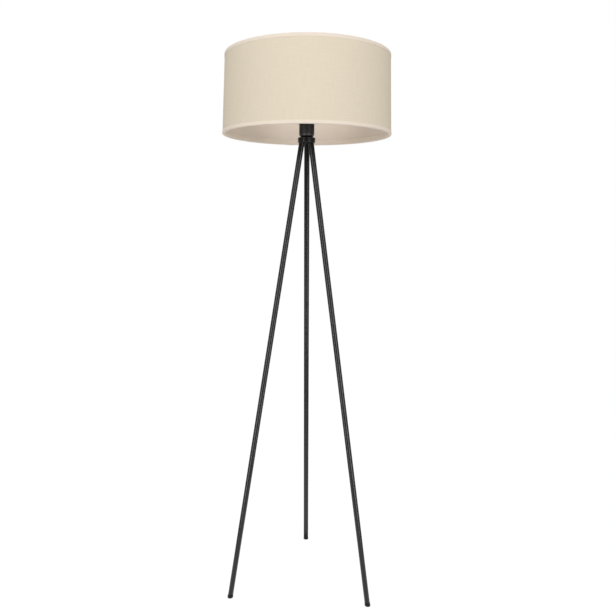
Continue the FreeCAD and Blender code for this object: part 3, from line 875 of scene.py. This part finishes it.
paper, paper_tree, paper_shader = new_finish("white_paper_floor")
fill(paper_tree, paper_shader, {"Base Color": linear("fafafa"), "Roughness": 1.0, "Specular IOR Level": 0.0})
glow = add(paper_tree, "Emission", {"Color": linear("ffffff"), "Strength": FLOOR_WHITE})
glow_share = add(paper_tree, "Math", {0: looked_at(paper_tree), 1: FLOOR_GLOW}, operation="MULTIPLY")
layers = {0: glow_share.outputs[0], 1: paper_shader.outputs[0], 2: glow.outputs[0]}
mixed = add(paper_tree, "MixShader", layers)
fill(paper_tree, paper_tree.nodes["Material Output"], {"Surface": mixed.outputs[0]})
reach = FLOOR_SIZE / 2
floor_z = cad_low.z - FLOOR_DROP
floor_rows = [[Vector((x, y, floor_z)) for x in (-reach, reach)] for y in (-reach, reach)]
floor = skin("floor", floor_rows)
floor.data.materials.append(paper)
floor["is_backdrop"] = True
print("floor:", FLOOR_SIZE, "m wide, at", round(floor_z / MM, 1), "mm")

# %% [markdown]
# ## Camera
#
# The picture tells where its camera stood. The shade's lower edge opens as a narrow ellipse, so the lens was
# below it, and the rear foot stands well above the two front ones in the frame, so it was near. From the
# ellipses and the feet come the camera's distance, its height, the way it faces and its focal length.
#
# Moving the camera by eye would mix these up, so each is a value of its own. The focal length is in pixels of
# an image 616 wide, and a small lens shift brings the lamp to its place in the frame without turning it.

# %% Camera
CAMERA_AWAY = 1.672
CAMERA_HEIGHT = 1.075
CAMERA_AZIMUTH = math.radians(3.69)
CAMERA_HEADING = math.radians(4.6)
CAMERA_DOWN = math.radians(8.73)
CAMERA_ROLL = math.radians(0.58)
IMAGE_PX = 616
FOCAL_PX = 605.0
SHIFT_PX = 13.0

camera = bpy.data.objects.new("camera", bpy.data.cameras.new("camera"))
camera.data.lens = camera.data.sensor_width * FOCAL_PX / IMAGE_PX
camera.data.shift_x = SHIFT_PX / IMAGE_PX
stand_point = Matrix.Rotation(CAMERA_AZIMUTH, 4, "Z") @ Vector((0, -CAMERA_AWAY, CAMERA_HEIGHT))
tilt = Matrix.Rotation(math.pi / 2 - CAMERA_DOWN, 4, "X") @ Matrix.Rotation(CAMERA_ROLL, 4, "Z")
camera.matrix_world = Matrix.Translation(stand_point) @ Matrix.Rotation(CAMERA_HEADING, 4, "Z") @ tilt
bpy.context.scene.collection.objects.link(camera)
bpy.context.scene.camera = camera
print("lens", round(camera.data.lens, 2), "mm, camera at", [round(value, 3) for value in stand_point])

# %% [markdown]
# ## Softbox
#
# One softbox stands above the camera. It lights the cover from the front and, over the shade's open top, the
# back of the liner. At the camera's own height it would shine in under the shade and throw the lampholder's
# shadow on the liner. An area light of the softbox's size gives the soft edge that a point light can't.

# %% Raised softbox
SOFTBOX_ANGLE = -2.0
SOFTBOX_AWAY = 3.5
SOFTBOX_HEIGHT = 2.9
SOFTBOX_AIM = 1.2
SOFTBOX_SIZE = (0.8, 0.8)
SOFTBOX_WATTS = 52.5


def by_camera(angle, away, height):
    """A place at an angle, in degrees, from the camera's side of the lamp."""
    return Matrix.Rotation(CAMERA_AZIMUTH + math.radians(angle), 3, "Z") @ Vector((0, -away, height))


def area_light(name, place, aim, size, watts):
    """A rectangular light that faces a point."""
    light = bpy.data.lights.new(name, "AREA")
    light.shape = "RECTANGLE"
    light.size, light.size_y = size
    light.energy = watts
    box = bpy.data.objects.new(name, light)
    box.location = place
    box.rotation_euler = (aim - place).to_track_quat("-Z", "Y").to_euler()
    bpy.context.scene.collection.objects.link(box)
    return box


softbox_at = by_camera(SOFTBOX_ANGLE, SOFTBOX_AWAY, SOFTBOX_HEIGHT)
area_light("softbox", softbox_at, Vector((0, 0, SOFTBOX_AIM)), SOFTBOX_SIZE, SOFTBOX_WATTS)
print("softbox of", SOFTBOX_WATTS, "W at", [round(value, 2) for value in softbox_at])

# %% [markdown]
# ## Strips and card
#
# Black tubes show little but what they mirror. Two upright strips, left and right of the camera, draw the two
# streaks on each leg, and a low card on the floor lightens the lower legs. As full lights they would shine
# into the shade too. Blender can hide a light from diffuse rays, so these three show in gloss alone, and
# throw no shadow on the cloth.

# %% Lights for the gloss
STRIP_ANGLES = (-38.0, 38.0)
STRIP_AWAY = 1.0
STRIP_HEIGHT = 0.8
STRIP_SIZE = (0.24, 1.6)
STRIP_WATTS = 18.0
CARD_AWAY = 0.3
CARD_HEIGHT = 0.01
CARD_SIZE = (1.0, 1.0)
CARD_WATTS = 4.5

gloss_lights = []
for number, angle in enumerate(STRIP_ANGLES):
    strip_at = by_camera(angle, STRIP_AWAY, STRIP_HEIGHT)
    strip_aim = Vector((0, 0, STRIP_HEIGHT))
    gloss_lights.append(area_light(f"strip_{number}", strip_at, strip_aim, STRIP_SIZE, STRIP_WATTS))
card_at = by_camera(0.0, CARD_AWAY, CARD_HEIGHT)
card_aim = card_at + Vector((0, 0, 1))
gloss_lights.append(area_light("card", card_at, card_aim, CARD_SIZE, CARD_WATTS))
for gloss_light in gloss_lights:
    gloss_light.visible_diffuse = False
    gloss_light.visible_camera = False
print(len(STRIP_ANGLES), "strips of", STRIP_WATTS, "W and a card of", CARD_WATTS, "W, for gloss alone")

# %% Compare the boxes
look_low, look_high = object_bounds()
cad_size = cad_high - cad_low
look_size = look_high - look_low
print("growth over the CAD box in mm:", [round(growth / MM, 2) for growth in look_size - cad_size])
